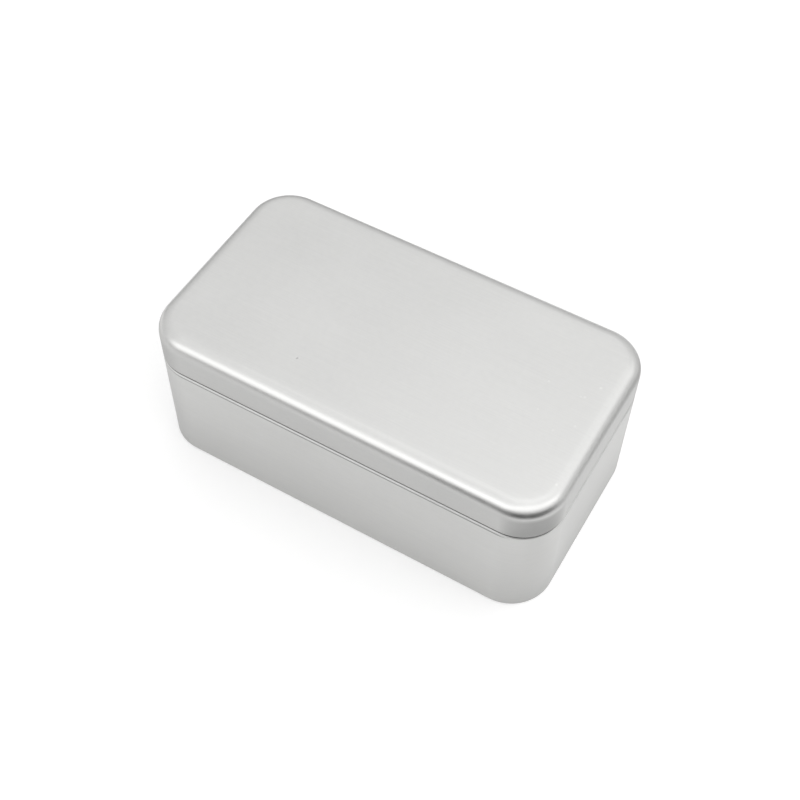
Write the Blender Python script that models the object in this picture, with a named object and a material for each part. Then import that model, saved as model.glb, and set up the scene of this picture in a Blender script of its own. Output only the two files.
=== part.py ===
"""Tinplate box for a card game, with a lid on two hinges along the back.

Metres, +Z up, +X along the box, -Y to the front. The box stands on z = 0, centred on the origin
with its hinges counted in. The card that it holds stands on its long edge, across the box.
"""
import math

import bmesh
import bpy
from mathutils import Vector

# Card that the box is made for
CARD_LONG_EDGE = 0.088
CARD_SHORT_EDGE = 0.063
CARD_SIDE_PLAY = 0.001
CARD_TOP_PLAY = 0.0013

# Sheet and fits
SHEET = 0.0003
HEM_BEND_RADIUS = 0.0001
HEM_HEIGHT = 0.0025
FIT_GAP = 0.0003

# Outside of the box
LENGTH = 0.170
CORNER_RADIUS = 0.0174

# Lid
LID_SKIRT_HEIGHT = 0.0167
LID_EDGE_RADIUS = 0.0059
LID_CLEARANCE = 0.0004
LID_SEAT_GAP = 0.0004

# Body wall
SHOULDER_RADIUS = 0.0008
NECK_RISE = 0.007
BOTTOM_EDGE_RADIUS = 0.0012
BOTTOM_REST_WIDTH = 0.0005
BOTTOM_LIP_RADIUS = 0.0005
BOTTOM_LIP_HEIGHT = 0.001

# Bottom panel
PANEL_LEDGE = 0.003
PANEL_DROP = 0.0005
PANEL_BEND_RADIUS = 0.0006

# Hinges
HINGE_SHEET = 0.0005
HINGE_WIDTH = 0.022
HINGE_SPACING = 0.090
LID_KNUCKLE_WIDTH = 0.008
BODY_LEAF_HEIGHT = 0.010
LID_LEAF_HEIGHT = 0.009
LEAF_CORNER_RADIUS = 0.002
PIN_RADIUS = 0.0007
PIN_CLEARANCE = 0.0002
PIN_CHAMFER = 0.00015
CURL_DEGREES = 280

# Facets: steps in a quarter turn of each kind of curve, and sides of a round bar
CORNER_STEPS = 8
LID_EDGE_STEPS = 6
SMALL_BEND_STEPS = 3
CURL_STEPS_PER_QUARTER = 4
LEAF_CORNER_STEPS = 4
PIN_SIDES = 16
SHARP_DEGREES = 40

# Sizes that follow from the ones above
half_sheet = SHEET / 2
hem_width = 2 * SHEET + 2 * HEM_BEND_RADIUS
neck_inset = hem_width + LID_CLEARANCE
mouth_inset = neck_inset + hem_width
roll_width = BOTTOM_EDGE_RADIUS + BOTTOM_REST_WIDTH + BOTTOM_LIP_RADIUS
ledge_top = BOTTOM_LIP_HEIGHT + FIT_GAP + SHEET

WIDTH = CARD_LONG_EDGE + CARD_SIDE_PLAY + 2 * mouth_inset
HEIGHT = ledge_top + CARD_SHORT_EDGE + CARD_TOP_PLAY + SHEET

lid_lower_edge = HEIGHT - LID_SKIRT_HEIGHT
shoulder_top = lid_lower_edge - LID_SEAT_GAP
rim_top = lid_lower_edge + NECK_RISE

knuckle_radius = PIN_RADIUS + PIN_CLEARANCE + HINGE_SHEET
hinge_standoff = FIT_GAP + knuckle_radius
hinge_reach = hinge_standoff + knuckle_radius
hinge_axis_y = WIDTH / 2 + hinge_standoff
hinge_axis_z = (lid_lower_edge + shoulder_top) / 2


def remove_everything():
    for thing in list(bpy.data.objects):
        bpy.data.objects.remove(thing, do_unlink=True)


def make_material(name, colour, roughness, metallic):
    material = bpy.data.materials.new(name)
    material.use_nodes = True
    shader = material.node_tree.nodes["Principled BSDF"]
    shader.inputs["Base Color"].default_value = (*colour, 1.0)
    shader.inputs["Roughness"].default_value = roughness
    shader.inputs["Metallic"].default_value = metallic
    return material


def make_empty(name, location, parent=None):
    empty = bpy.data.objects.new(name, None)
    bpy.context.scene.collection.objects.link(empty)
    empty.location = location
    empty.parent = parent
    return empty


def make_object(name, mesh, material, location, parent):
    piece = bpy.data.objects.new(name, mesh)
    bpy.context.scene.collection.objects.link(piece)
    if not mesh.materials:
        mesh.materials.append(material)
    piece.location = location
    piece.parent = parent
    return piece


def finish_mesh(name, shape):
    """Turns every face outwards, shades the round parts smooth and returns the mesh."""
    bmesh.ops.recalc_face_normals(shape, faces=shape.faces)
    mesh = bpy.data.meshes.new(name)
    shape.to_mesh(mesh)
    shape.free()
    mesh.shade_smooth()
    mesh.set_sharp_from_angle(angle=math.radians(SHARP_DEGREES))
    return mesh


class SheetPath:
    """The middle line of a bent sheet, drawn as straight runs and bends from a start point.

    A positive bend turns left. The two faces of the sheet lie half its thickness to each side.
    """

    def __init__(self, start, heading_degrees, thickness):
        self.points = [Vector(start)]
        self.headings = [math.radians(heading_degrees)]
        self.half = thickness / 2

    def run(self, length):
        heading = self.headings[-1]
        step = Vector((math.cos(heading), math.sin(heading))) * length
        self.points.append(self.points[-1] + step)
        self.headings.append(heading)

    def bend(self, inside_radius, degrees, steps):
        radius = inside_radius + self.half
        side = math.copysign(1, degrees)
        begin = self.headings[-1]
        centre = self.points[-1] + self.left_of(begin) * side * radius
        for step in range(1, steps + 1):
            heading = begin + math.radians(degrees) * step / steps
            self.points.append(centre - self.left_of(heading) * side * radius)
            self.headings.append(heading)

    @staticmethod
    def left_of(heading):
        return Vector((-math.sin(heading), math.cos(heading)))

    def face(self, side):
        """Points of the left (+1) or right (-1) face of the sheet."""
        return [point + self.left_of(heading) * side * self.half
                for point, heading in zip(self.points, self.headings)]

    def outline(self):
        """The whole section: up one face and back down the other."""
        return self.face(-1) + self.face(1)[::-1]


def plan_ring(inset):
    """The box's outline seen from above, moved inwards by inset."""
    radius = CORNER_RADIUS - inset
    along = LENGTH / 2 - CORNER_RADIUS
    across = WIDTH / 2 - CORNER_RADIUS
    points = []
    for quarter, (side_x, side_y) in enumerate(((1, 1), (-1, 1), (-1, -1), (1, -1))):
        for step in range(CORNER_STEPS + 1):
            angle = math.pi / 2 * (quarter + step / CORNER_STEPS)
            points.append((side_x * along + radius * math.cos(angle),
                           side_y * across + radius * math.sin(angle)))
    return points


def sweep_round_box(name, section, is_ring):
    """Carries a section of (inset, height) points round the box.

    A ring's section closes on itself. Otherwise its two ends are filled flat, one above the other.
    """
    shape = bmesh.new()
    rings = []
    for inset, height in section:
        rings.append([shape.verts.new((x, y, height)) for x, y in plan_ring(inset)])
    pairs = list(zip(rings, rings[1:]))
    if is_ring:
        pairs.append((rings[-1], rings[0]))
    else:
        shape.faces.new(rings[0])
        shape.faces.new(rings[-1])
    for ring, following in pairs:
        count = len(ring)
        for i in range(count):
            j = (i + 1) % count
            shape.faces.new((ring[i], ring[j], following[j], following[i]))
    return finish_mesh(name, shape)


def body_wall_mesh():
    """Bottom roll, plain wall, shoulder, neck and hemmed rim, drawn from the roll's inner lip."""
    shoulder_bend = SHOULDER_RADIUS - SHEET
    neck_bend = neck_inset - SHOULDER_RADIUS
    path = SheetPath((roll_width - half_sheet, BOTTOM_LIP_HEIGHT), -90, SHEET)
    path.run(BOTTOM_LIP_HEIGHT - BOTTOM_LIP_RADIUS)
    path.bend(BOTTOM_LIP_RADIUS - SHEET, -90, SMALL_BEND_STEPS)
    path.run(BOTTOM_REST_WIDTH)
    path.bend(BOTTOM_EDGE_RADIUS - SHEET, -90, SMALL_BEND_STEPS)
    path.run(shoulder_top - SHOULDER_RADIUS - BOTTOM_EDGE_RADIUS)
    path.bend(shoulder_bend, -90, SMALL_BEND_STEPS)
    path.bend(neck_bend, 90, SMALL_BEND_STEPS)
    path.run(rim_top - hem_width / 2 - shoulder_top - neck_bend)
    path.bend(HEM_BEND_RADIUS, -180, 2 * SMALL_BEND_STEPS)
    path.run(HEM_HEIGHT)
    return sweep_round_box("body_wall", path.outline(), is_ring=True)


def bottom_panel_mesh():
    """Floor with a pressed step, drawn from the lower end of the flange that hooks over the lip."""
    flange_centre = roll_width - SHEET - FIT_GAP - half_sheet
    flange_low = SHEET + FIT_GAP
    fold_radius = FIT_GAP
    step_bend = PANEL_BEND_RADIUS - half_sheet
    step_degrees = math.degrees(math.acos(1 - PANEL_DROP / (2 * PANEL_BEND_RADIUS)))
    path = SheetPath((flange_centre, flange_low), 90, SHEET)
    path.run(BOTTOM_LIP_HEIGHT - flange_low)
    path.bend(fold_radius, -90, SMALL_BEND_STEPS)
    path.run(PANEL_LEDGE)
    path.bend(step_bend, -step_degrees, SMALL_BEND_STEPS)
    path.bend(step_bend, step_degrees, SMALL_BEND_STEPS)
    return sweep_round_box("bottom_panel", path.face(-1)[::-1] + path.face(1), is_ring=False)


def lid_mesh():
    """Flat top, rounded edge, skirt and hem, drawn from the upper end of the hem inside."""
    hem_centre = hem_width - half_sheet
    bend_low = lid_lower_edge + hem_width / 2
    path = SheetPath((hem_centre, bend_low + HEM_HEIGHT), -90, SHEET)
    path.run(HEM_HEIGHT)
    path.bend(HEM_BEND_RADIUS, -180, 2 * SMALL_BEND_STEPS)
    path.run(HEIGHT - LID_EDGE_RADIUS - bend_low)
    path.bend(LID_EDGE_RADIUS - SHEET, -90, LID_EDGE_STEPS)
    return sweep_round_box("lid_shell", path.face(-1)[::-1] + path.face(1), is_ring=False)


def leaf_mesh(name, plate_height, columns, knuckle_columns, up):
    """A stamped leaf round the hinge axis, which is the mesh's own X axis.

    The flat blank is a row of cells. The plate takes every column, and only the knuckle columns
    go on past the notch line and round the pin. The plate hangs below the axis, or above it if up.
    """
    middle_radius = knuckle_radius - HINGE_SHEET / 2
    notch_line = knuckle_radius + FIT_GAP
    curl_steps = round(CURL_STEPS_PER_QUARTER * CURL_DEGREES / 90)
    path = SheetPath((-middle_radius, -plate_height), 90, HINGE_SHEET)
    path.run(plate_height - notch_line)
    path.run(notch_line)
    path.bend(PIN_RADIUS + PIN_CLEARANCE, -CURL_DEGREES, curl_steps)
    faces = [path.face(-1), path.face(1)]
    sign = -1 if up else 1

    shape = bmesh.new()
    corners = {}

    def corner(side, row, column):
        key = (side, row, column)
        if key not in corners:
            y, z = faces[side][row]
            corners[key] = shape.verts.new((columns[column], y, sign * z))
        return corners[key]

    rows = len(path.points) - 1
    present = {(row, column) for row in range(rows) for column in range(len(columns) - 1)
               if row == 0 or column in knuckle_columns}
    for row, column in sorted(present):
        for side in (0, 1):
            shape.faces.new([corner(side, row, column), corner(side, row + 1, column),
                             corner(side, row + 1, column + 1), corner(side, row, column + 1)])
        edges = (((row - 1, column), (row, column), (row, column + 1)),
                 ((row + 1, column), (row + 1, column), (row + 1, column + 1)),
                 ((row, column - 1), (row, column), (row + 1, column)),
                 ((row, column + 1), (row, column + 1), (row + 1, column + 1)))
        for neighbour, begin, end in edges:
            if neighbour not in present:
                shape.faces.new([corner(0, *begin), corner(0, *end),
                                 corner(1, *end), corner(1, *begin)])

    bmesh.ops.recalc_face_normals(shape, faces=shape.faces)
    outer_columns = (0, len(columns) - 1)
    plate_corners = [shape.edges.get((corner(0, 0, column), corner(1, 0, column)))
                     for column in outer_columns]
    bmesh.ops.bevel(shape, geom=plate_corners, offset=LEAF_CORNER_RADIUS,
                    segments=LEAF_CORNER_STEPS, profile=0.5, affect="EDGES")
    return finish_mesh(name, shape)


def pin_mesh(name):
    shape = bmesh.new()
    bmesh.ops.create_cone(shape, cap_ends=True, segments=PIN_SIDES, radius1=PIN_RADIUS,
                          radius2=PIN_RADIUS, depth=HINGE_WIDTH)
    bmesh.ops.rotate(shape, verts=shape.verts,
                     matrix=Vector((0, 0, 1)).rotation_difference(Vector((1, 0, 0))).to_matrix())
    rims = [edge for edge in shape.edges
            if abs(edge.verts[0].co.x - edge.verts[1].co.x) < PIN_CHAMFER]
    bmesh.ops.bevel(shape, geom=rims, offset=PIN_CHAMFER, segments=1, affect="EDGES")
    return finish_mesh(name, shape)


def build_hinges(tin, lid_axis, leaf_material, pin_material):
    half_width = HINGE_WIDTH / 2
    half_knuckle = LID_KNUCKLE_WIDTH / 2
    half_notch = half_knuckle + FIT_GAP
    body_columns = (-half_width, -half_notch, half_notch, half_width)
    lid_columns = (-half_width, -half_knuckle, half_knuckle, half_width)
    body_leaf = leaf_mesh("hinge_body_leaf", BODY_LEAF_HEIGHT, body_columns, {0, 2}, up=False)
    lid_leaf = leaf_mesh("hinge_lid_leaf", LID_LEAF_HEIGHT, lid_columns, {1}, up=True)
    pin = pin_mesh("hinge_pin")
    for word, side in (("left", -1), ("right", 1)):
        x = side * HINGE_SPACING / 2
        on_body = (x, hinge_axis_y, hinge_axis_z)
        make_object(f"hinge_body_leaf_{word}", body_leaf, leaf_material, on_body, tin)
        make_object(f"hinge_pin_{word}", pin, pin_material, on_body, tin)
        make_object(f"hinge_lid_leaf_{word}", lid_leaf, leaf_material, (x, 0, 0), lid_axis)


def build():
    remove_everything()
    body_tin = make_material("body_tinplate", (0.76, 0.76, 0.75), 0.38, 1.0)
    lid_tin = make_material("lid_tinplate", (0.79, 0.79, 0.78), 0.36, 1.0)
    floor_tin = make_material("floor_tinplate", (0.74, 0.74, 0.73), 0.40, 1.0)
    leaf_steel = make_material("hinge_steel", (0.66, 0.66, 0.66), 0.34, 1.0)
    pin_steel = make_material("pin_steel", (0.58, 0.58, 0.59), 0.28, 1.0)

    tin = make_empty("tin", (0, -hinge_reach / 2, 0))
    axis = Vector((0, hinge_axis_y, hinge_axis_z))
    lid_axis = make_empty("lid_axis", axis, tin)

    make_object("body_wall", body_wall_mesh(), body_tin, (0, 0, 0), tin)
    make_object("bottom_panel", bottom_panel_mesh(), floor_tin, (0, 0, 0), tin)
    make_object("lid_shell", lid_mesh(), lid_tin, -axis, lid_axis)
    build_hinges(tin, lid_axis, leaf_steel, pin_steel)


build()
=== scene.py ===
import math

import bmesh
import bpy
import numpy as np
from mathutils import Matrix, Vector, noise


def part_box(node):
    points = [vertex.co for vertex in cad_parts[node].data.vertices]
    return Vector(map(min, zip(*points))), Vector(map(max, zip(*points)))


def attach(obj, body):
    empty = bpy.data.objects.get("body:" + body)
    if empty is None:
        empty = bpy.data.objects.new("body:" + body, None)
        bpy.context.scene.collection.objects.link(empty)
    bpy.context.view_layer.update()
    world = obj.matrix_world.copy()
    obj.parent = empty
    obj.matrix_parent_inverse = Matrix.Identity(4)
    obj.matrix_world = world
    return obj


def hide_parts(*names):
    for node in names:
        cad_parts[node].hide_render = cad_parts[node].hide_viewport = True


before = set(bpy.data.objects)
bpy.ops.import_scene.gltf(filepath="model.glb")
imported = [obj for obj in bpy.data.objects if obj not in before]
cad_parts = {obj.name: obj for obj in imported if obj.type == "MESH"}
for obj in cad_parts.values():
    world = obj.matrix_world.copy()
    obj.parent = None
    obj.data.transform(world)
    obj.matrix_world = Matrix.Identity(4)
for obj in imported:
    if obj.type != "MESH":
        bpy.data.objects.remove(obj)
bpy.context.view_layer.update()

# Looks of a plain tinplate box with a hinged lid. Lengths are in metres. +X runs along the box and -Y to
# the front. A turn is measured in degrees from the front towards the right, seen from above.

# Sheet metal
SHEET = 0.0003
FIT_GAP = 0.0003
CORNER_RADIUS = 0.0174
HEM_BEND_RADIUS = 0.0001
HEM_HEIGHT = 0.0025
HEM_WIDTH = 2 * SHEET + 2 * HEM_BEND_RADIUS

# Lid: the foot of its skirt is tucked in along the sides and flared out at the corner that is drawn hardest
LID_EDGE_RADIUS = 0.0059
LID_CLEARANCE = 0.0004
LID_SEAT_GAP = 0.0004
TUCK_DEPTH = 0.0001
TUCK_HEIGHT = 0.0050
FLARE_DEPTH = 0.0001

# Body wall, with a shallow groove under its shoulder, which runs out at the corner that is drawn hardest:
# GROOVE_FILL is how much of it is filled there for each share of drawing, cut off at 1
SHOULDER_RADIUS = 0.0005
SHOULDER_DROP = 0.0003
GROOVE_RADIUS = 0.0002
GROOVE_DEGREES = 34
GROOVE_DROP = 0.00035
GROOVE_FILL = 1.6
BOTTOM_EDGE_RADIUS = 0.0012
BOTTOM_REST_WIDTH = 0.0005
BOTTOM_LIP_RADIUS = 0.0005
BOTTOM_LIP_HEIGHT = 0.001

# Welded side seam of the body, where the outward direction has more than FACING_BACK of +Y. Its foot, slope
# and flat top are distances from its middle in half widths.
SEAM_HALF_WIDTH = 0.0006
SEAM_HEIGHT = 0.0001
SEAM_FOOT = 2.0
SEAM_SLOPE = 1.2
SEAM_FLAT = 0.8
FACING_BACK = 0.99

# Bottom panel
PANEL_LEDGE = 0.003
PANEL_DROP = 0.0005
PANEL_BEND_RADIUS = 0.0006

# Hinges
HINGE_SHEET = 0.0005
HINGE_SPACING = 0.090
HINGE_WIDTH = 0.022
LID_KNUCKLE_WIDTH = 0.008
BODY_LEAF_HEIGHT = 0.010
LID_LEAF_HEIGHT = 0.009
LEAF_CORNER_RADIUS = 0.002
LEAF_EDGE_ROUNDING = 0.00008
PIN_RADIUS = 0.0007
PIN_CHAMFER = 0.00015
CURL_DEGREES = 280
WELD_SPACING = 0.0066
WELD_RADIUS = 0.0013
WELD_DEPTH = 0.00012
WELD_STEEPNESS = 1.6

# Slow unevenness of the flat sheet, all of it inwards. It comes in over one part in WAVE_FADE of the way
# from the edge to the middle line.
TOP_WAVE = 0.00007
SIDE_WAVE = 0.00012
FLOOR_WAVE = 0.00012
WAVE_LENGTH = 0.045
WAVE_FADE = 3
TOP_WAVE_SEED = 1.7
SIDE_WAVE_SEED = 5.3
FLOOR_WAVE_SEED = 9.1

# Fineness of the meshes
CORNER_PARTS = 22
LONG_SIDE_PARTS = 36
SHORT_SIDE_PARTS = 14
EDGE_PARTS = 14
BEND_PARTS = 6
WALL_ROWS = 14
SKIRT_ROWS = 7
LID_HEM_ROWS = 3
NECK_ROWS = 3
RIM_HEM_ROWS = 2
LEDGE_ROWS = 2
NOTCH_ROWS = 2
INNER_ROWS = 22
LEAF_CELL = 0.0005
LEAF_EDGE_SEGMENTS = 2
CURL_PARTS = 48
PIN_SIDES = 40
SHARP_DEGREES = 40
MERGE_DISTANCE = 1e-7
ZERO_LENGTH = 1e-8

# Worn edges, as shares of full wear. The hems' value is also put on the body's shoulder bend, where it
# paints a highlight line.
HEM_WEAR_AND_SHEEN = 1.0
LID_EDGE_WEAR = 0.35
PANEL_STEP_WEAR = 0.6

# Painted shade, as shares of full painted shade: colour made darker to stand in for shade and dark
# reflections on the lid's skirt, the corners and towards the body's foot. The corner table says, for each
# corner, how hard it is drawn, which flares the lid and fills the groove, and how much painted shade it
# gets: back right, back left, front left, front right.
CORNER_DRAWS_AND_SHADES = (0.25, 0.25, 0.25, 1.0)
SKIRT_PAINTED_SHADE = 0.45
CORNER_PAINTED_SHADE = 0.38
CORNER_PAINTED_SHADE_LOW = 0.12
CORNER_UPPER_SHARE = 0.75
FOOT_PAINTED_SHADE = 0.28

# Depth under the lid's top at which the painted shade on its skirt begins, the height over which it comes
# in, and how far above the foot of the rounded edge the corners' painted shade begins
SKIRT_SHADE_START = 0.0014
SHADE_FADE = 0.0019
CORNER_SHADE_RISE = 0.0010

# Painted shade in the creases: how dark the shoulder is painted under the lid along the sides, where shade
# falls in the gap, and the painted dark line in the groove under it. A crease's share at the shoulder's
# top, and its growth over one shoulder radius upwards, are cut off at 0 and 1.
SHOULDER_SHADE = 0.40
GROOVE_SHADE = 1.0
CREASE_AT_TOP = 1.3
CREASE_GROWTH = 3.5

# Colours and roughness of the metals. The body's tin colour is a darker copy of the lid's: painted shade
# that makes the walls and the floor panel darker than the top.
TIN_COLOUR = (0.70, 0.70, 0.69)
SHADED_BODY_TIN_COLOUR = (0.588, 0.588, 0.579)
LEAF_COLOUR = (0.63, 0.63, 0.63)
PIN_COLOUR = (0.56, 0.56, 0.57)
EDGE_TINT = (0.78, 0.78, 0.78, 1.0)
TIN_ROUGHNESS = 0.36
PANEL_ROUGHNESS = 0.39
LEAF_ROUGHNESS = 0.34
PIN_ROUGHNESS = 0.26

# Features per metre of the rolling grain along X, Y and Z
FLAT_GRAIN = (30.0, 2600.0, 2600.0)
WALL_GRAIN = (30.0, 30.0, 2600.0)
LEAF_GRAIN = (2400.0, 2400.0, 40.0)
PIN_GRAIN = (40.0, 2400.0, 2400.0)

# Patterns: features per metre, detail and roughness of each noise. The grain has its features above.
CLOUD_NOISE = (22.0, 3.0, 0.5)
MOTTLE_NOISE = (420.0, 4.0, 0.6)
GRAIN_NOISE = (1.0, 5.0, 0.6)
SPECKLE_NOISE = (3200.0, 2.0, 0.5)

# The part of a pattern's range that counts, and the tone, added roughness or weld share at its two ends
CLOUD_TONES = (0.3, 0.7, 0.985, 1.015)
MOTTLE_TONES = (0.2, 0.8, 0.985, 1.015)
GRAIN_TONES = (0.2, 0.8, 0.975, 1.02)
CLOUD_MATTS = (0.2, 0.8, -0.02, 0.02)
MOTTLE_MATTS = (0.2, 0.8, -0.025, 0.025)
WELD_PATCHES = (0.35, 0.65, 0.55, 1.0)

# Tone and added roughness of full wear (partly a painted highlight), weld, painted shade and painted crease
# shade
WEAR_AND_SHEEN_TONE = 1.15
WELD_TONE = 0.80
PAINTED_SHADE_TONE = 0.40
CREASE_SHADE_TONE = 0.35
WEAR_MATT = -0.04
WELD_MATT = 0.08

# Bump: its depth, and the part that each pattern has in it
GRAIN_DEPTH = 0.000002
GRAIN_BUMP = 0.9
SPECKLE_BUMP = 0.35
MOTTLE_BUMP = 1.2
WELD_BUMP = 6.0

# Small nicks and pimples in the lid's top: x, y, radius, rise in units of GRAIN_DEPTH and change of tone. A
# rise in tone is a painted highlight on the mark; the first nick is made darker.
NICKS = (
    (-0.0265, -0.0295, 0.0006, -60.0, -0.30),
    (-0.0257, -0.0290, 0.0005, 0.0, 0.08),
    (0.0578, 0.0084, 0.0007, 12.0, 0.10),
    (0.0754, 0.0152, 0.0009, 14.0, 0.12),
    (0.0722, 0.0085, 0.0008, 10.0, 0.10),
    (0.0708, 0.0080, 0.0007, 10.0, 0.08),
    (0.0600, -0.0049, 0.0007, 8.0, 0.06),
    (0.0747, -0.0049, 0.0008, 12.0, 0.08),
    (0.0687, -0.0104, 0.0008, 12.0, 0.07),
    (0.0800, -0.0303, 0.0009, 12.0, 0.12),
    (0.0776, -0.0395, 0.0009, 12.0, 0.10),
)

# Floor, and how much lighter it looks to the camera and in reflections: near the box up to LIFT_NEAR and
# no more from LIFT_FAR on, and beside its right end within shares of its length. The lift beside the right
# end is a painted pool of light, which the right wall shows as a lighter reflection.
FLOOR_SIZE = 6.0
FLOOR_DROP = 0.00005
FLOOR_COLOUR = (0.76, 0.76, 0.76)
FLOOR_ROUGHNESS = 0.9
FLOOR_LIFT = 0.29
LIFT_NEAR = 0.35
LIFT_FAR = 1.00
FLOOR_PAINTED_GLOW_RIGHT = 0.22
LIFT_RIGHT_SHARES = (0.7, 1.3)

# Room: its level at the horizon, its rise towards the ceiling, and soft glows in the ceiling, each with its
# turn, its angle from the zenith and how much lighter than the room it is. A glow begins and is full where
# the cosine of the angle from its middle has the GLOW_COSINES.
ROOM_LEVEL = 0.70
ROOM_RISE = 0.22
CEILING_GLOWS = ((170, 18, 0.40), (-12, 25, 0.15))
GLOW_COSINES = (0.84, 0.98)

# Each softbox: where it begins and ends (turn and angle from the zenith), its width and its radiance
SOFTBOXES = (
    ("softbox_left", (-51, 69), (5, 59), 0.76, 0.72),
    ("softbox_right", (-8, 62), (110, 64), 0.70, 0.62),
    ("softbox_side", (88, 60), (160, 60), 0.60, 0.36),
)
SOFTBOX_DISTANCE = 1.2

# Each card that only reflections show: turn, distance, width and height, and its shade up to one share of
# the width and from another share on
CARD_ROUGHNESS = 1.0
CARDS = (
    ("dark_card", 32, 0.19, 0.66, 0.080, (0.66, 0.20), (0.04, 0.58)),
    ("grey_card", 125, 0.165, 0.30, 0.066, (0.92, 0.0), (0.92, 1.0)),
    ("back_card", -142, 0.25, 0.50, 0.085, (0.56, 0.0), (0.56, 1.0)),
)

# Camera, with its lens and sensor in millimetres
CAMERA_PLACE = (0.152114, -0.269562, 0.44295)
CAMERA_DEGREES = (36.4716, -0.6943, 30.2731)
CAMERA_LENS = 58.803
CAMERA_SENSOR = 36.0

# Sizes read from the frame
lid_low, lid_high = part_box("lid_shell")
wall_low, wall_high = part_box("body_wall")
pin_low, pin_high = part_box("hinge_pin_left")
leaf_low, leaf_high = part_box("hinge_body_leaf_left")
LENGTH = lid_high.x - lid_low.x
WIDTH = lid_high.y - lid_low.y
HEIGHT = lid_high.z
MIDDLE_Y = (lid_high.y + lid_low.y) / 2
lid_edge_z = lid_low.z
rim_z = wall_high.z
axis_y = (pin_low.y + pin_high.y) / 2
axis_z = (pin_low.z + pin_high.z) / 2
knuckle_radius = leaf_high.y - axis_y

# Sizes that follow from the ones above
shoulder_z = lid_edge_z - LID_SEAT_GAP - SHOULDER_DROP
neck_inset = HEM_WIDTH + LID_CLEARANCE
roll_width = BOTTOM_EDGE_RADIUS + BOTTOM_REST_WIDTH + BOTTOM_LIP_RADIUS
groove_height = 4 * (GROOVE_RADIUS + SHEET / 2) * math.sin(math.radians(GROOVE_DEGREES))
groove_low = shoulder_z - SHOULDER_RADIUS - GROOVE_DROP - groove_height
curl_inside = knuckle_radius - HINGE_SHEET


def clamped(value):
    return min(max(value, 0.0), 1.0)


def smooth_share(value):
    """0 up to 0, 1 from 1 on, and a smooth rise between them."""
    value = clamped(value)
    return value * value * (3 - 2 * value)


def even_shares(parts):
    """The shares that cut a length into equal parts, without 0 and 1."""
    return [part / parts for part in range(1, parts)]


class SheetPath:
    """Middle line of a bent sheet as (sideways, up) points, with a value of wear and painted sheen for each
    point.
    """

    def __init__(self, start, heading_degrees, thickness):
        self.points = [Vector(start)]
        self.headings = [math.radians(heading_degrees)]
        self.wear_and_sheen = [0.0]
        self.half = thickness / 2

    def run(self, length, parts=1):
        heading = self.headings[-1]
        step = Vector((math.cos(heading), math.sin(heading))) * (length / parts)
        for _ in range(parts):
            self.points.append(self.points[-1] + step)
            self.headings.append(heading)
            self.wear_and_sheen.append(0.0)

    def bend(self, inside_radius, degrees, parts, wear_and_sheen=0.0):
        radius = inside_radius + self.half
        side = math.copysign(1, degrees)
        begin = self.headings[-1]
        centre = self.points[-1] + self.left_of(begin) * side * radius
        for part in range(1, parts + 1):
            heading = begin + math.radians(degrees) * part / parts
            self.points.append(centre - self.left_of(heading) * side * radius)
            self.headings.append(heading)
            self.wear_and_sheen.append(wear_and_sheen * math.sin(math.pi * part / parts))

    @staticmethod
    def left_of(heading):
        return Vector((-math.sin(heading), math.cos(heading)))

    def face(self, side):
        return [point + self.left_of(heading) * side * self.half
                for point, heading in zip(self.points, self.headings)]


def plan_stations():
    """Places round the box: outline point, outward direction, shares of corner, side, and drawing with
    painted shade.
    """
    along = LENGTH / 2 - CORNER_RADIUS
    across = WIDTH / 2 - CORNER_RADIUS
    places, outwards, corner_shares, side_shares, drawing_and_shade = [], [], [], [], []

    def add(x, y, angle, corner_share, side_share, drawn_and_shaded):
        places.append((x, y))
        outwards.append((math.cos(angle), math.sin(angle)))
        corner_shares.append(corner_share)
        side_shares.append(side_share)
        drawing_and_shade.append(drawn_and_shaded)

    corners = ((1, 1), (-1, 1), (-1, -1), (1, -1))
    for quarter, (side_x, side_y) in enumerate(corners):
        centre_x, centre_y = side_x * along, side_y * across
        for part in range(CORNER_PARTS + 1):
            share = part / CORNER_PARTS
            angle = math.pi / 2 * (quarter + share)
            x = centre_x + CORNER_RADIUS * math.cos(angle)
            y = centre_y + CORNER_RADIUS * math.sin(angle)
            swell = math.sin(math.pi * share)
            add(x, y, angle, swell, 0.0, CORNER_DRAWS_AND_SHADES[quarter] * swell)
        next_x, next_y = corners[(quarter + 1) % 4]
        begin = places[-1]
        angle = math.pi / 2 * (quarter + 1)
        end = (next_x * along + CORNER_RADIUS * math.cos(angle),
               next_y * across + CORNER_RADIUS * math.sin(angle))
        for share in long_side_shares() if quarter % 2 == 0 else even_shares(SHORT_SIDE_PARTS):
            add(begin[0] + (end[0] - begin[0]) * share, begin[1] + (end[1] - begin[1]) * share,
                angle, 0.0, math.sin(math.pi * share), 0.0)
    return tuple(np.array(values) for values in (places, outwards, corner_shares, side_shares, drawing_and_shade))


def long_side_shares():
    """Even shares, with extra ones for the edges of the welded seam at the back.

    The front has them too, so that the places face each other across the middle of the box.
    """
    straight = LENGTH - 2 * CORNER_RADIUS
    marks = [side * mark for side in (-1, 1) for mark in (SEAM_FOOT, SEAM_SLOPE, SEAM_FLAT)]
    seam = [0.5 + mark * SEAM_HALF_WIDTH / straight for mark in marks]
    return sorted(even_shares(LONG_SIDE_PARTS) + seam)


# Each place's drawing, which flares the lid and fills the groove, is also its share of painted shade
PLACES, OUTWARDS, CORNER_SHARES, SIDE_SHARES, DRAWING_AND_SHADE = plan_stations()
GROOVE_FILLED = np.clip(GROOVE_FILL * DRAWING_AND_SHADE, 0, 1)


def all_round(values):
    """Each value of a path as the same value at every place round the box."""
    return [np.full(len(PLACES), value) for value in values]


def ring_at(inset, height):
    """The box's outline at one inset and height, as an array of points."""
    flat = PLACES - OUTWARDS * inset
    return np.column_stack([flat[:, 0], flat[:, 1], np.full(len(flat), height)])


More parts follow.
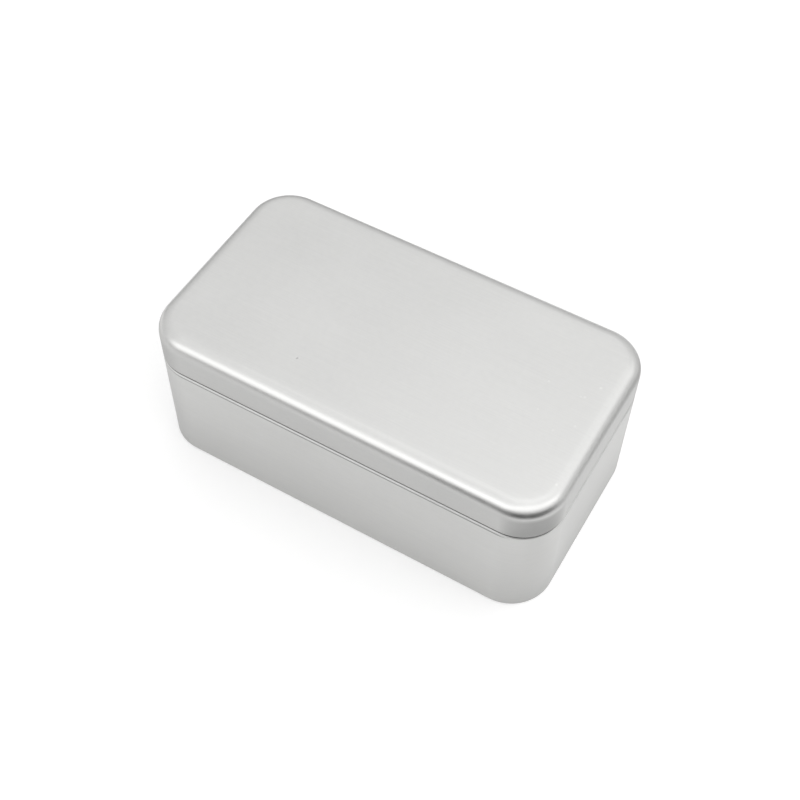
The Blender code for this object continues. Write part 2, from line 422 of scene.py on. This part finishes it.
def rings_to_spine(ring, rows):
    """Rings from one ring in to the straight line along its middle, in even shares."""
    half_spine = (LENGTH - WIDTH) / 2
    target = ring.copy()
    target[:, 0] = np.clip(ring[:, 0], -half_spine, half_spine)
    target[:, 1] = 0.0
    return [ring + (target - ring) * (row / rows) for row in range(1, rows + 1)]


def slow_wave(x, y, seed):
    """A smooth value from 0 to 1 that changes over WAVE_LENGTH."""
    return 0.5 + 0.5 * noise.noise(Vector((x / WAVE_LENGTH, y / WAVE_LENGTH, seed)))


def wavy_middle(edge_ring, wave, seed):
    """Rings from the edge of a flat sheet in to its middle line, moved up by a slow wave."""
    inner = rings_to_spine(edge_ring, INNER_ROWS)
    for row, ring in enumerate(inner, 1):
        fade = smooth_share(WAVE_FADE * row / INNER_ROWS)
        ring[:, 2] += fade * wave * np.array([slow_wave(x, y, seed) for x, y, _ in ring])
    return inner


def moved_to_middle(rings):
    """The rings at the box's own middle, which the hinges push forward of the origin."""
    return [ring + np.array([0.0, MIDDLE_Y, 0.0]) for ring in rings]


def mesh_from_rings(name, faces, is_ring, values):
    """Joins the two faces of a sheet, each a list of rings, into one closed mesh.

    values holds, for each attribute's name, a list of arrays like the rings of one face.
    """
    count = len(PLACES)
    points = np.concatenate([ring for face in faces for ring in face])
    rows = len(faces[0])
    quads = []

    def strip(row_a, row_b):
        for i in range(count):
            j = (i + 1) % count
            quads.append((row_a * count + i, row_a * count + j, row_b * count + j, row_b * count + i))

    for base in (0, rows):
        for row in range(rows - 1):
            strip(base + row, base + row + 1)
    strip(0, rows)
    if is_ring:
        strip(rows - 1, 2 * rows - 1)
    mesh = bpy.data.meshes.new(name)
    mesh.from_pydata(points.tolist(), [], quads)
    for key, arrays in values.items():
        attribute = mesh.attributes.new(key, "FLOAT", "POINT")
        attribute.data.foreach_set("value", np.concatenate(arrays + arrays).astype(np.float32))
    return clean_mesh(mesh)


def clean_mesh(mesh):
    """Merges points that meet, turns every face outwards and shades the round parts smooth."""
    shape = bmesh.new()
    shape.from_mesh(mesh)
    bmesh.ops.remove_doubles(shape, verts=shape.verts, dist=MERGE_DISTANCE)
    bmesh.ops.dissolve_degenerate(shape, edges=shape.edges, dist=ZERO_LENGTH)
    bmesh.ops.recalc_face_normals(shape, faces=shape.faces)
    shape.to_mesh(mesh)
    shape.free()
    mesh.shade_smooth()
    mesh.set_sharp_from_angle(angle=math.radians(SHARP_DEGREES))
    return mesh


def lid_sheet_mesh():
    """Hem, skirt tucked in a little along its sides, rounded edge and an almost flat top."""
    bend_low = lid_edge_z + HEM_WIDTH / 2
    path = SheetPath((HEM_WIDTH - SHEET / 2, bend_low + HEM_HEIGHT), -90, SHEET)
    path.run(HEM_HEIGHT, LID_HEM_ROWS)
    path.bend(HEM_BEND_RADIUS, -180, 2 * BEND_PARTS, wear_and_sheen=HEM_WEAR_AND_SHEEN)
    path.run(HEIGHT - LID_EDGE_RADIUS - bend_low, SKIRT_ROWS)
    path.bend(LID_EDGE_RADIUS - SHEET, -90, EDGE_PARTS, wear_and_sheen=LID_EDGE_WEAR)
    faces = []
    for side in (1, -1):
        rings = [ring_at(inset, height) for inset, height in path.face(side)]
        for ring in rings:
            above = (ring[:, 2] - lid_edge_z) / TUCK_HEIGHT
            tuck = TUCK_DEPTH * (1 - CORNER_SHARES) - FLARE_DEPTH * DRAWING_AND_SHADE ** 2
            tuck = tuck * np.clip(1 - above, 0, 1) ** 2
            ring[:, :2] -= OUTWARDS * tuck[:, None]
        faces.append(moved_to_middle(rings + wavy_middle(rings[-1], -TOP_WAVE, TOP_WAVE_SEED)))
    flat = all_round([0.0] * INNER_ROWS)
    # Painted shade: the lid's skirt and drawn corners are made darker in colour
    values = {"wear_and_sheen": all_round(path.wear_and_sheen) + flat, "painted_shade": lid_painted_shade(path.points) + flat}
    return mesh_from_rings("lid_sheet", faces, False, values)


def lid_painted_shade(points):
    """Painted shade of the lid at each point of its path, for every place round it: its skirt and drawn
    corners darker.
    """
    skirt_height = HEIGHT - LID_EDGE_RADIUS - lid_edge_z
    painted_shades = []
    for point in points:
        below_top = HEIGHT - point.y
        below_edge = below_top - LID_EDGE_RADIUS
        skirt = smooth_share((below_top - SKIRT_SHADE_START) / SHADE_FADE)
        upper = smooth_share((below_edge + CORNER_SHADE_RISE) / SHADE_FADE)
        lower = smooth_share(below_edge / skirt_height)
        corner = CORNER_UPPER_SHARE * upper + (1 - CORNER_UPPER_SHARE) * lower
        painted_shades.append(SKIRT_PAINTED_SHADE * skirt + (1 - SKIRT_PAINTED_SHADE) * corner * DRAWING_AND_SHADE)
    return painted_shades


def body_sheet_mesh():
    """Bottom roll, long wall, groove, shoulder, neck and hemmed rim, with a welded seam at the back."""
    path = SheetPath((roll_width - SHEET / 2, BOTTOM_LIP_HEIGHT), -90, SHEET)
    path.run(BOTTOM_LIP_HEIGHT - BOTTOM_LIP_RADIUS)
    path.bend(BOTTOM_LIP_RADIUS - SHEET, -90, BEND_PARTS)
    path.run(BOTTOM_REST_WIDTH)
    path.bend(BOTTOM_EDGE_RADIUS - SHEET, -90, BEND_PARTS, wear_and_sheen=HEM_WEAR_AND_SHEEN)
    path.run(groove_low - BOTTOM_EDGE_RADIUS, WALL_ROWS)
    for degrees in (-GROOVE_DEGREES, GROOVE_DEGREES, GROOVE_DEGREES, -GROOVE_DEGREES):
        path.bend(GROOVE_RADIUS, degrees, BEND_PARTS // 2)
    path.run(GROOVE_DROP)
    # Paints a highlight line on the shoulder through its wear value
    path.bend(SHOULDER_RADIUS - SHEET, -90, BEND_PARTS, wear_and_sheen=HEM_WEAR_AND_SHEEN)
    path.bend(neck_inset - SHOULDER_RADIUS, 90, BEND_PARTS)
    path.run(rim_z - HEM_WIDTH / 2 - shoulder_z - (neck_inset - SHOULDER_RADIUS), NECK_ROWS)
    path.bend(HEM_BEND_RADIUS, -180, 2 * BEND_PARTS, wear_and_sheen=HEM_WEAR_AND_SHEEN)
    path.run(HEM_HEIGHT, RIM_HEM_ROWS)
    faces = []
    for side in (-1, 1):
        rings = []
        wall_inset = SHEET / 2 * (1 - side)
        for point, (inset, height) in zip(path.points, path.face(side)):
            ring = ring_at(inset, height)
            if groove_low < point.y < groove_low + groove_height:
                ring[:, :2] += OUTWARDS * ((inset - wall_inset) * GROOVE_FILLED)[:, None]
            level = math.sin(math.pi * clamped(height / shoulder_z))
            waves = np.array([slow_wave(x + y, height, SIDE_WAVE_SEED) for x, y, _ in ring])
            ring[:, :2] -= OUTWARDS * (SIDE_WAVE * level * SIDE_SHARES * waves)[:, None]
            if height > BOTTOM_EDGE_RADIUS and inset < neck_inset + SHEET:
                ring[:, :2] += OUTWARDS * (SEAM_HEIGHT * seam_lift(ring))[:, None]
            rings.append(ring)
        faces.append(moved_to_middle(rings))
    # Painted shade: the crease under the lid, the groove, the near corner and the foot are made darker
    crease_shade, painted_shade = body_shades(path.points)
    weld = [seam_lift(ring_at(point.x, point.y)) for point in path.points]
    values = {"wear_and_sheen": all_round(path.wear_and_sheen), "weld": weld, "crease_shade": crease_shade, "painted_shade": painted_shade}
    return mesh_from_rings("body_sheet", faces, True, values)


def seam_lift(ring):
    """How far the welded seam stands out at each place round the box: its middle at the back."""
    at_back = OUTWARDS[:, 1] > FACING_BACK
    distance = np.abs(ring[:, 0]) / SEAM_HALF_WIDTH
    return np.where(at_back, np.clip((SEAM_FOOT - distance) / (SEAM_FOOT - SEAM_FLAT), 0, 1), 0.0)


def body_shades(points):
    """Painted shade of the body at each point of its path, for every place round it: the crease, the near
    corner and the foot.
    """
    crease_shade, painted_shades = [], []
    for point in points:
        above = (point.y - shoulder_z + SHEET / 2) / SHOULDER_RADIUS
        under_lid = smooth_share(CREASE_AT_TOP + CREASE_GROWTH * above) * (point.y < rim_z - HEM_HEIGHT)
        in_groove = math.sin(math.pi * clamped((point.y - groove_low) / groove_height))
        crease_shade.append(under_lid * (SHOULDER_SHADE + (1 - SHOULDER_SHADE) * DRAWING_AND_SHADE)
                      + GROOVE_SHADE * in_groove * (1 - GROOVE_FILLED))
        # Painted shade: darker at the near corner and towards the foot
        level = clamped(point.y / shoulder_z)
        corner = CORNER_PAINTED_SHADE_LOW + (CORNER_PAINTED_SHADE - CORNER_PAINTED_SHADE_LOW) * level
        painted_shades.append(corner * DRAWING_AND_SHADE + FOOT_PAINTED_SHADE * (1 - level))
    return crease_shade, painted_shades


def bottom_sheet_mesh():
    """Floor hooked over the wall's lip, with a ledge, a pressed step and an almost flat middle."""
    step_bend = PANEL_BEND_RADIUS - SHEET / 2
    step_degrees = math.degrees(math.acos(1 - PANEL_DROP / (2 * PANEL_BEND_RADIUS)))
    flange_low = SHEET + FIT_GAP
    path = SheetPath((roll_width - SHEET - FIT_GAP - SHEET / 2, flange_low), 90, SHEET)
    path.run(BOTTOM_LIP_HEIGHT - flange_low)
    path.bend(FIT_GAP, -90, BEND_PARTS)
    path.run(PANEL_LEDGE, LEDGE_ROWS)
    path.bend(step_bend, -step_degrees, BEND_PARTS, wear_and_sheen=PANEL_STEP_WEAR)
    path.bend(step_bend, step_degrees, BEND_PARTS)
    faces = []
    for side in (1, -1):
        rings = [ring_at(inset, height) for inset, height in path.face(side)]
        faces.append(moved_to_middle(rings + wavy_middle(rings[-1], FLOOR_WAVE, FLOOR_WAVE_SEED)))
    wear_and_sheen = all_round(path.wear_and_sheen + [0.0] * INNER_ROWS)
    return mesh_from_rings("bottom_sheet", faces, False, {"wear_and_sheen": wear_and_sheen})


def even_cuts(begin, end):
    """Values from begin to end, both counted in, about LEAF_CELL apart."""
    parts = max(1, round((end - begin) / LEAF_CELL))
    return [begin + (end - begin) * part / parts for part in range(parts + 1)]


def leaf_columns(knuckles):
    """Column places across a leaf, and the numbers of the columns that run on into knuckles."""
    half = HINGE_WIDTH / 2
    marks = sorted({-half, half} | {edge for knuckle in knuckles for edge in knuckle})
    places = [-half]
    for begin, end in zip(marks, marks[1:]):
        places += even_cuts(begin, end)[1:]
    inside = {i for i, (a, b) in enumerate(zip(places, places[1:]))
              if any(low <= (a + b) / 2 <= high for low, high in knuckles)}
    return places, inside


def round_leaf_corner(x, z, low):
    """Moves a place of the plate's square grid so that the plate's two lower corners are round."""
    radius = LEAF_CORNER_RADIUS
    out = (abs(x) - (HINGE_WIDTH / 2 - radius)) / radius
    down = (low + radius - z) / radius
    if out <= 0 or down <= 0:
        return x, z
    new_out = out * math.sqrt(1 - down * down / 2)
    new_down = down * math.sqrt(1 - out * out / 2)
    return (math.copysign(HINGE_WIDTH / 2 - radius + new_out * radius, x),
            low + radius - new_down * radius)


def weld_share(x, z, weld_z):
    """1 at the middle of a weld mark and 0 outside it."""
    nearest = min(math.hypot(x - side * WELD_SPACING, z - weld_z) for side in (-1, 0, 1))
    return smooth_share(WELD_STEEPNESS * (1 - nearest / WELD_RADIUS))


def leaf_sheet_mesh(name, plate_height, knuckles, up):
    """A stamped leaf round the hinge axis: plate with weld marks, and knuckles curled round the pin."""
    middle_radius = knuckle_radius - HINGE_SHEET / 2
    notch_line = knuckle_radius + FIT_GAP
    plate_rows = round((plate_height - notch_line) / LEAF_CELL)
    path = SheetPath((-middle_radius, -plate_height), 90, HINGE_SHEET)
    path.run(plate_height - notch_line, plate_rows)
    path.run(notch_line, NOTCH_ROWS)
    path.bend(curl_inside, -CURL_DEGREES, CURL_PARTS)
    faces = [path.face(1), path.face(-1)]
    columns, inside = leaf_columns(knuckles)
    weld_z = -(plate_height + notch_line) / 2
    sign = -1 if up else 1

    shape = bmesh.new()
    weld_layer = shape.verts.layers.float.new("weld")
    wear_layer = shape.verts.layers.float.new("wear_and_sheen")
    points = {}

    def point(side, row, column):
        key = (side, row, column)
        if key not in points:
            y, z = faces[side][row]
            x = columns[column]
            weld = 0.0
            if row <= plate_rows:
                x, z = round_leaf_corner(x, z, -plate_height)
                weld = weld_share(x, z, weld_z)
                y += WELD_DEPTH * weld
            vertex = shape.verts.new((x, y, sign * z))
            vertex[weld_layer] = weld
            edge_distance = min(columns[-1] - abs(columns[column]), path.points[row].y + plate_height)
            vertex[wear_layer] = 1.0 if row > plate_rows or edge_distance < LEAF_CELL else 0.0
            points[key] = vertex
        return points[key]

    rows = len(path.points) - 1
    present = {(row, column) for row in range(rows) for column in range(len(columns) - 1)
               if row < plate_rows or column in inside}
    rims = []
    for row, column in sorted(present):
        for side in (0, 1):
            shape.faces.new([point(side, row, column), point(side, row + 1, column),
                             point(side, row + 1, column + 1), point(side, row, column + 1)])
        borders = (((row - 1, column), (row, column), (row, column + 1)),
                   ((row + 1, column), (row + 1, column), (row + 1, column + 1)),
                   ((row, column - 1), (row, column), (row + 1, column)),
                   ((row, column + 1), (row, column + 1), (row + 1, column + 1)))
        for neighbour, begin, end in borders:
            if neighbour not in present:
                rim = [point(0, *begin), point(0, *end), point(1, *end), point(1, *begin)]
                rims.append(shape.faces.new(rim))
    bmesh.ops.recalc_face_normals(shape, faces=shape.faces)
    rim_faces = set(rims)
    sharp = [edge for edge in shape.edges
             if len(edge.link_faces) == 2 and sum(face in rim_faces for face in edge.link_faces) == 1]
    bmesh.ops.bevel(shape, geom=sharp, offset=LEAF_EDGE_ROUNDING, segments=LEAF_EDGE_SEGMENTS,
                    profile=0.5, affect="EDGES")
    return finished_mesh(name, shape)


def pin_mesh(name):
    """A wire pin along X with its ends rounded a little."""
    half = HINGE_WIDTH / 2
    profile = [(-half, 0.0)]
    for part in range(BEND_PARTS + 1):
        turn = math.pi / 2 * part / BEND_PARTS
        profile.append((-half + PIN_CHAMFER * (1 - math.sin(turn)),
                        PIN_RADIUS - PIN_CHAMFER * (1 - math.cos(turn))))
    profile = sorted(set(profile))
    profile += [(-x, radius) for x, radius in reversed(profile)]
    turns = [2 * math.pi * i / PIN_SIDES for i in range(PIN_SIDES)]
    shape = bmesh.new()
    rings = []
    for x, radius in profile:
        rings.append([shape.verts.new((x, radius * math.cos(turn), radius * math.sin(turn)))
                      for turn in turns])
    for ring, following in zip(rings, rings[1:]):
        for i in range(PIN_SIDES):
            j = (i + 1) % PIN_SIDES
            shape.faces.new((ring[i], ring[j], following[j], following[i]))
    return finished_mesh(name, shape)


def finished_mesh(name, shape):
    """A clean mesh made from a bmesh, which is freed."""
    mesh = bpy.data.meshes.new(name)
    shape.to_mesh(mesh)
    shape.free()
    return clean_mesh(mesh)


class Graph:
    """Short ways to add and join the shader nodes of one material or world."""

    def __init__(self, tree):
        self.tree = tree
        self.coordinates = None

    def node(self, kind, **settings):
        made = self.tree.nodes.new("ShaderNode" + kind)
        for key, value in settings.items():
            setattr(made, key, value)
        return made

    def join(self, value, socket):
        if isinstance(value, bpy.types.NodeSocket):
            self.tree.links.new(value, socket)
        else:
            socket.default_value = value

    def maths(self, operation, *values):
        made = self.node("Math", operation=operation)
        for value, socket in zip(values, made.inputs):
            self.join(value, socket)
        return made.outputs[0]

    def vector(self, operation, *values, output=0):
        made = self.node("VectorMath", operation=operation)
        for value, socket in zip(values, made.inputs):
            self.join(value, socket)
        return made.outputs[output]

    def ranged(self, value, low, high, to_low, to_high):
        """A value brought smoothly from one range to another, and held at its ends."""
        made = self.node("MapRange", interpolation_type="SMOOTHSTEP")
        for given, socket in zip((value, low, high, to_low, to_high), made.inputs):
            self.join(given, socket)
        return made.outputs[0]

    def noise(self, scale, detail, roughness, stretch=None):
        """Noise from 0 to 1 over the object, with features about 1 / scale metres long."""
        coordinates = self.coordinates
        if stretch:
            coordinates = self.vector("MULTIPLY", coordinates, stretch)
        made = self.node("TexNoise")
        settings = {"Vector": coordinates, "Scale": scale, "Detail": detail, "Roughness": roughness}
        for name, value in settings.items():
            self.join(value, made.inputs[name])
        return made.outputs[0]

    def attribute(self, name):
        return self.node("Attribute", attribute_name=name).outputs["Fac"]


def metal_material(name, colour, roughness, grain_stretch, nicks=()):
    """Satin sheet metal: grain, clouds, polished edges, weld tint, nicks, and painted sheen, highlights and
    shade.
    """
    material = bpy.data.materials.new(name)
    material.use_nodes = True
    graph = Graph(material.node_tree)
    shader = material.node_tree.nodes["Principled BSDF"]
    graph.coordinates = graph.node("TexCoord").outputs["Object"]

    clouds = graph.noise(*CLOUD_NOISE)
    mottle = graph.noise(*MOTTLE_NOISE)
    grain = graph.noise(*GRAIN_NOISE, stretch=grain_stretch)
    speckle = graph.noise(*SPECKLE_NOISE)
    wear_and_sheen = graph.attribute("wear_and_sheen")
    weld = graph.maths("MULTIPLY", graph.attribute("weld"), graph.ranged(mottle, *WELD_PATCHES))

    tone = 1.0
    for pattern, tones in ((clouds, CLOUD_TONES), (mottle, MOTTLE_TONES), (grain, GRAIN_TONES)):
        tone = graph.maths("MULTIPLY", tone, graph.ranged(pattern, *tones))
    # Painted light and shade in the tone: worn edges and the shoulder lighter; skirt, corners, foot and
    # creases darker
    marks = ((wear_and_sheen, WEAR_AND_SHEEN_TONE), (weld, WELD_TONE),
             (graph.attribute("painted_shade"), PAINTED_SHADE_TONE), (graph.attribute("crease_shade"), CREASE_SHADE_TONE))
    for mark, full_tone in marks:
        tone = graph.maths("MULTIPLY", tone, graph.ranged(mark, 0.0, 1.0, 1.0, full_tone))

    matt = roughness
    for pattern, matts in ((clouds, CLOUD_MATTS), (mottle, MOTTLE_MATTS)):
        matt = graph.maths("ADD", matt, graph.ranged(pattern, *matts))
    for mark, full_matt in ((wear_and_sheen, WEAR_MATT), (weld, WELD_MATT)):
        matt = graph.maths("ADD", matt, graph.maths("MULTIPLY", mark, full_matt))

    height = graph.maths("MULTIPLY", grain, GRAIN_BUMP)
    for pattern, bump in ((speckle, SPECKLE_BUMP), (mottle, MOTTLE_BUMP),
                          (graph.maths("MULTIPLY", speckle, weld), WELD_BUMP)):
        height = graph.maths("ADD", height, graph.maths("MULTIPLY", pattern, bump))
    if nicks:
        height, tone = with_nicks(graph, nicks, height, tone)

    paint = graph.node("VectorMath", operation="SCALE")
    graph.join(colour, paint.inputs[0])
    graph.join(tone, paint.inputs["Scale"])
    relief = graph.node("Bump")
    relief.inputs["Distance"].default_value = GRAIN_DEPTH
    graph.join(height, relief.inputs["Height"])
    graph.join(paint.outputs[0], shader.inputs["Base Color"])
    graph.join(matt, shader.inputs["Roughness"])
    graph.join(relief.outputs[0], shader.inputs["Normal"])
    shader.inputs["Metallic"].default_value = 1.0
    shader.inputs["Specular Tint"].default_value = EDGE_TINT
    return material


def with_nicks(graph, nicks, height, tone):
    """Bump height and tone with small nicks added, on the outer top face only; their tone paints
    highlights.
    """
    up = graph.vector("DOT_PRODUCT", graph.coordinates, (0.0, 0.0, 1.0), output=1)
    on_top = graph.maths("GREATER_THAN", up, HEIGHT - SHEET / 2)
    seen_from_above = graph.vector("MULTIPLY", graph.coordinates, (1.0, 1.0, 0.0))
    for x, y, radius, rise, shade in nicks:
        distance = graph.vector("DISTANCE", seen_from_above, (x, y, 0.0), output=1)
        share = graph.maths("MULTIPLY", on_top, graph.ranged(distance, 0.0, radius, 1.0, 0.0))
        height = graph.maths("ADD", height, graph.maths("MULTIPLY", share, rise))
        change = graph.maths("ADD", 1.0, graph.maths("MULTIPLY", share, shade))
        tone = graph.maths("MULTIPLY", tone, change)
    return height, tone


def make_piece(name, mesh, material, body, replaced):
    piece = bpy.data.objects.new(name, mesh)
    bpy.context.scene.collection.objects.link(piece)
    mesh.materials.clear()
    mesh.materials.append(material)
    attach(piece, body)
    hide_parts(replaced)


def build_tin():
    lid_tin = metal_material("tinplate_lid", TIN_COLOUR, TIN_ROUGHNESS, FLAT_GRAIN, NICKS)
    # The body and its floor panel take a darker copy of the lid's tin: painted shade
    body_tin = metal_material("tinplate_body", SHADED_BODY_TIN_COLOUR, TIN_ROUGHNESS, WALL_GRAIN)
    floor_tin = metal_material("tinplate_floor", SHADED_BODY_TIN_COLOUR, PANEL_ROUGHNESS, FLAT_GRAIN)
    make_piece("lid_sheet", lid_sheet_mesh(), lid_tin, "lid", "lid_shell")
    make_piece("body_sheet", body_sheet_mesh(), body_tin, "base", "body_wall")
    make_piece("bottom_sheet", bottom_sheet_mesh(), floor_tin, "base", "bottom_panel")


def build_hinges():
    """Two strap hinges, each with a leaf on the body, a leaf on the lid and a pin."""
    leaf_steel = metal_material("hinge_steel", LEAF_COLOUR, LEAF_ROUGHNESS, LEAF_GRAIN)
    pin_steel = metal_material("pin_steel", PIN_COLOUR, PIN_ROUGHNESS, PIN_GRAIN)
    half = HINGE_WIDTH / 2
    half_knuckle = LID_KNUCKLE_WIDTH / 2
    half_notch = half_knuckle + FIT_GAP
    body_knuckles = [(-half, -half_notch), (half_notch, half)]
    body_leaf = leaf_sheet_mesh("body_leaf", BODY_LEAF_HEIGHT, body_knuckles, False)
    lid_leaf = leaf_sheet_mesh("lid_leaf", LID_LEAF_HEIGHT, [(-half_knuckle, half_knuckle)], True)
    pin = pin_mesh("pin")
    kinds = (
        (body_leaf, "leaf_on_body", "hinge_body_leaf", "base", leaf_steel, "hinge_steel"),
        (lid_leaf, "leaf_on_lid", "hinge_lid_leaf", "lid", leaf_steel, "hinge_steel"),
        (pin, "pin", "hinge_pin", "base", pin_steel, "pin_steel"),
    )
    for word, side in (("left", -1), ("right", 1)):
        for mesh, name, node, body, material, slot in kinds:
            moved = mesh.copy()
            moved.transform(Matrix.Translation((side * HINGE_SPACING / 2, axis_y, axis_z)))
            make_piece(f"{name}_{word}", moved, material, body, f"{node}_{word}")


def matt_stage(name, corners, roughness):
    """A four-sided face of the stage, linked to the scene, and its shader with the graph that it is in."""
    mesh = bpy.data.meshes.new(name)
    mesh.from_pydata(corners, [], [(0, 1, 2, 3)])
    stage = bpy.data.objects.new(name, mesh)
    bpy.context.scene.collection.objects.link(stage)
    material = bpy.data.materials.new(name)
    material.use_nodes = True
    shader = material.node_tree.nodes["Principled BSDF"]
    shader.inputs["Roughness"].default_value = roughness
    shader.inputs["Specular IOR Level"].default_value = 0.0
    mesh.materials.append(material)
    return stage, shader, Graph(material.node_tree)


def build_floor():
    """A pale floor that keeps the box's shadow, looks a little lighter than it lights the box, and glows by
    its right end.
    """
    half = FLOOR_SIZE / 2
    corners = [(side_x * half, side_y * half, -FLOOR_DROP)
               for side_x, side_y in ((-1, -1), (1, -1), (1, 1), (-1, 1))]
    _, shader, graph = matt_stage("floor", corners, FLOOR_ROUGHNESS)
    shader.inputs["Base Color"].default_value = (*FLOOR_COLOUR, 1.0)
    shader.inputs["Emission Color"].default_value = (1.0, 1.0, 1.0, 1.0)
    ray = graph.node("LightPath").outputs
    seen = graph.maths("MAXIMUM", ray["Is Camera Ray"], ray["Is Glossy Ray"])
    seen = graph.maths("MAXIMUM", seen, ray["Is Transmission Ray"])
    place = graph.node("TexCoord").outputs["Object"]
    distance = graph.vector("LENGTH", place, output=1)
    to_right = graph.vector("DOT_PRODUCT", place, (1.0, 0.0, 0.0), output=1)
    # A painted pool of light on the floor beside the box's right end
    right_end = LENGTH / 2
    near, far = (LENGTH * share for share in LIFT_RIGHT_SHARES)
    beside = graph.ranged(to_right, right_end - CORNER_RADIUS, right_end + CORNER_RADIUS,
                          0.0, FLOOR_PAINTED_GLOW_RIGHT)
    beside = graph.maths("MULTIPLY", beside, graph.ranged(distance, near, far, 1.0, 0.0))
    lift = graph.maths("ADD", beside, graph.ranged(distance, LIFT_NEAR, LIFT_FAR, FLOOR_LIFT, 0.0))
    graph.join(graph.maths("MULTIPLY", seen, lift), shader.inputs["Emission Strength"])


def direction(turn, from_zenith):
    """A unit vector, from its turn and its angle from the zenith in degrees."""
    turn, from_zenith = math.radians(turn), math.radians(from_zenith)
    return Vector((math.sin(turn) * math.sin(from_zenith), -math.cos(turn) * math.sin(from_zenith),
                   math.cos(from_zenith)))


def build_world():
    """A pale room that grows lighter towards its ceiling."""
    world = bpy.data.worlds.new("studio")
    bpy.context.scene.world = world
    world.use_nodes = True
    graph = Graph(world.node_tree)
    background = world.node_tree.nodes["Background"]
    looking = graph.node("TexCoord").outputs["Generated"]
    up = graph.vector("DOT_PRODUCT", looking, (0.0, 0.0, 1.0), output=1)
    level = graph.maths("ADD", ROOM_LEVEL, graph.ranged(up, 0.0, 1.0, 0.0, ROOM_RISE))
    for turn, from_zenith, rise in CEILING_GLOWS:
        near = graph.vector("DOT_PRODUCT", looking, tuple(direction(turn, from_zenith)), output=1)
        level = graph.maths("ADD", level, graph.ranged(near, *GLOW_COSINES, 0.0, rise))
    graph.join(level, background.inputs["Strength"])
    background.inputs["Color"].default_value = (1.0, 1.0, 1.0, 1.0)


def build_softbox(name, begin, end, width, radiance):
    """A soft oval lamp, SOFTBOX_DISTANCE away, that reaches from one direction to another."""
    begin, end = direction(*begin), direction(*end)
    lamp = bpy.data.lights.new(name, "AREA")
    lamp.shape = "ELLIPSE"
    lamp.size = 2 * SOFTBOX_DISTANCE * math.tan(begin.angle(end) / 2)
    lamp.size_y = width
    lamp.energy = radiance * math.pi * (math.pi / 4 * lamp.size * lamp.size_y)
    box = bpy.data.objects.new(name, lamp)
    bpy.context.scene.collection.objects.link(box)
    away = (begin + end).normalized()
    along = (end - begin).normalized()
    turn = Matrix((along, away.cross(along), away)).transposed()
    box.matrix_world = Matrix.Translation(away * SOFTBOX_DISTANCE) @ turn.to_4x4()
    box.visible_camera = False


def build_card(name, turn, distance, width, height, left, right):
    """A standing card that only reflections show, as a darker line or band in the metal."""
    foot = direction(turn, 90) * distance
    across = direction(turn + 90, 90) * width / 2
    rise = Vector((0.0, 0.0, height))
    corners = [foot - across, foot + across, foot + across + rise, foot - across + rise]
    card, shader, graph = matt_stage(name, corners, CARD_ROUGHNESS)
    place = graph.node("TexCoord").outputs["Object"]
    offset = graph.vector("DOT_PRODUCT", place, tuple(across.normalized()), output=1)
    begin, end = (width * (share - 0.5) for _, share in (left, right))
    shade = graph.ranged(offset, begin, end, left[0], right[0])
    paint = graph.node("CombineColor")
    for socket in paint.inputs:
        graph.join(shade, socket)
    graph.join(paint.outputs[0], shader.inputs["Base Color"])
    card.visible_camera = False
    card.visible_diffuse = False
    card.visible_shadow = False


def build_camera():
    lens = bpy.data.cameras.new("camera")
    lens.sensor_width = CAMERA_SENSOR
    lens.lens = CAMERA_LENS
    camera = bpy.data.objects.new("camera", lens)
    bpy.context.scene.collection.objects.link(camera)
    camera.location = CAMERA_PLACE
    camera.rotation_euler = [math.radians(turn) for turn in CAMERA_DEGREES]
    bpy.context.scene.camera = camera


build_tin()
build_hinges()
build_floor()
build_world()
for softbox in SOFTBOXES:
    build_softbox(*softbox)
for card in CARDS:
    build_card(*card)
build_camera()
bpy.context.scene.view_settings.view_transform = "Standard"
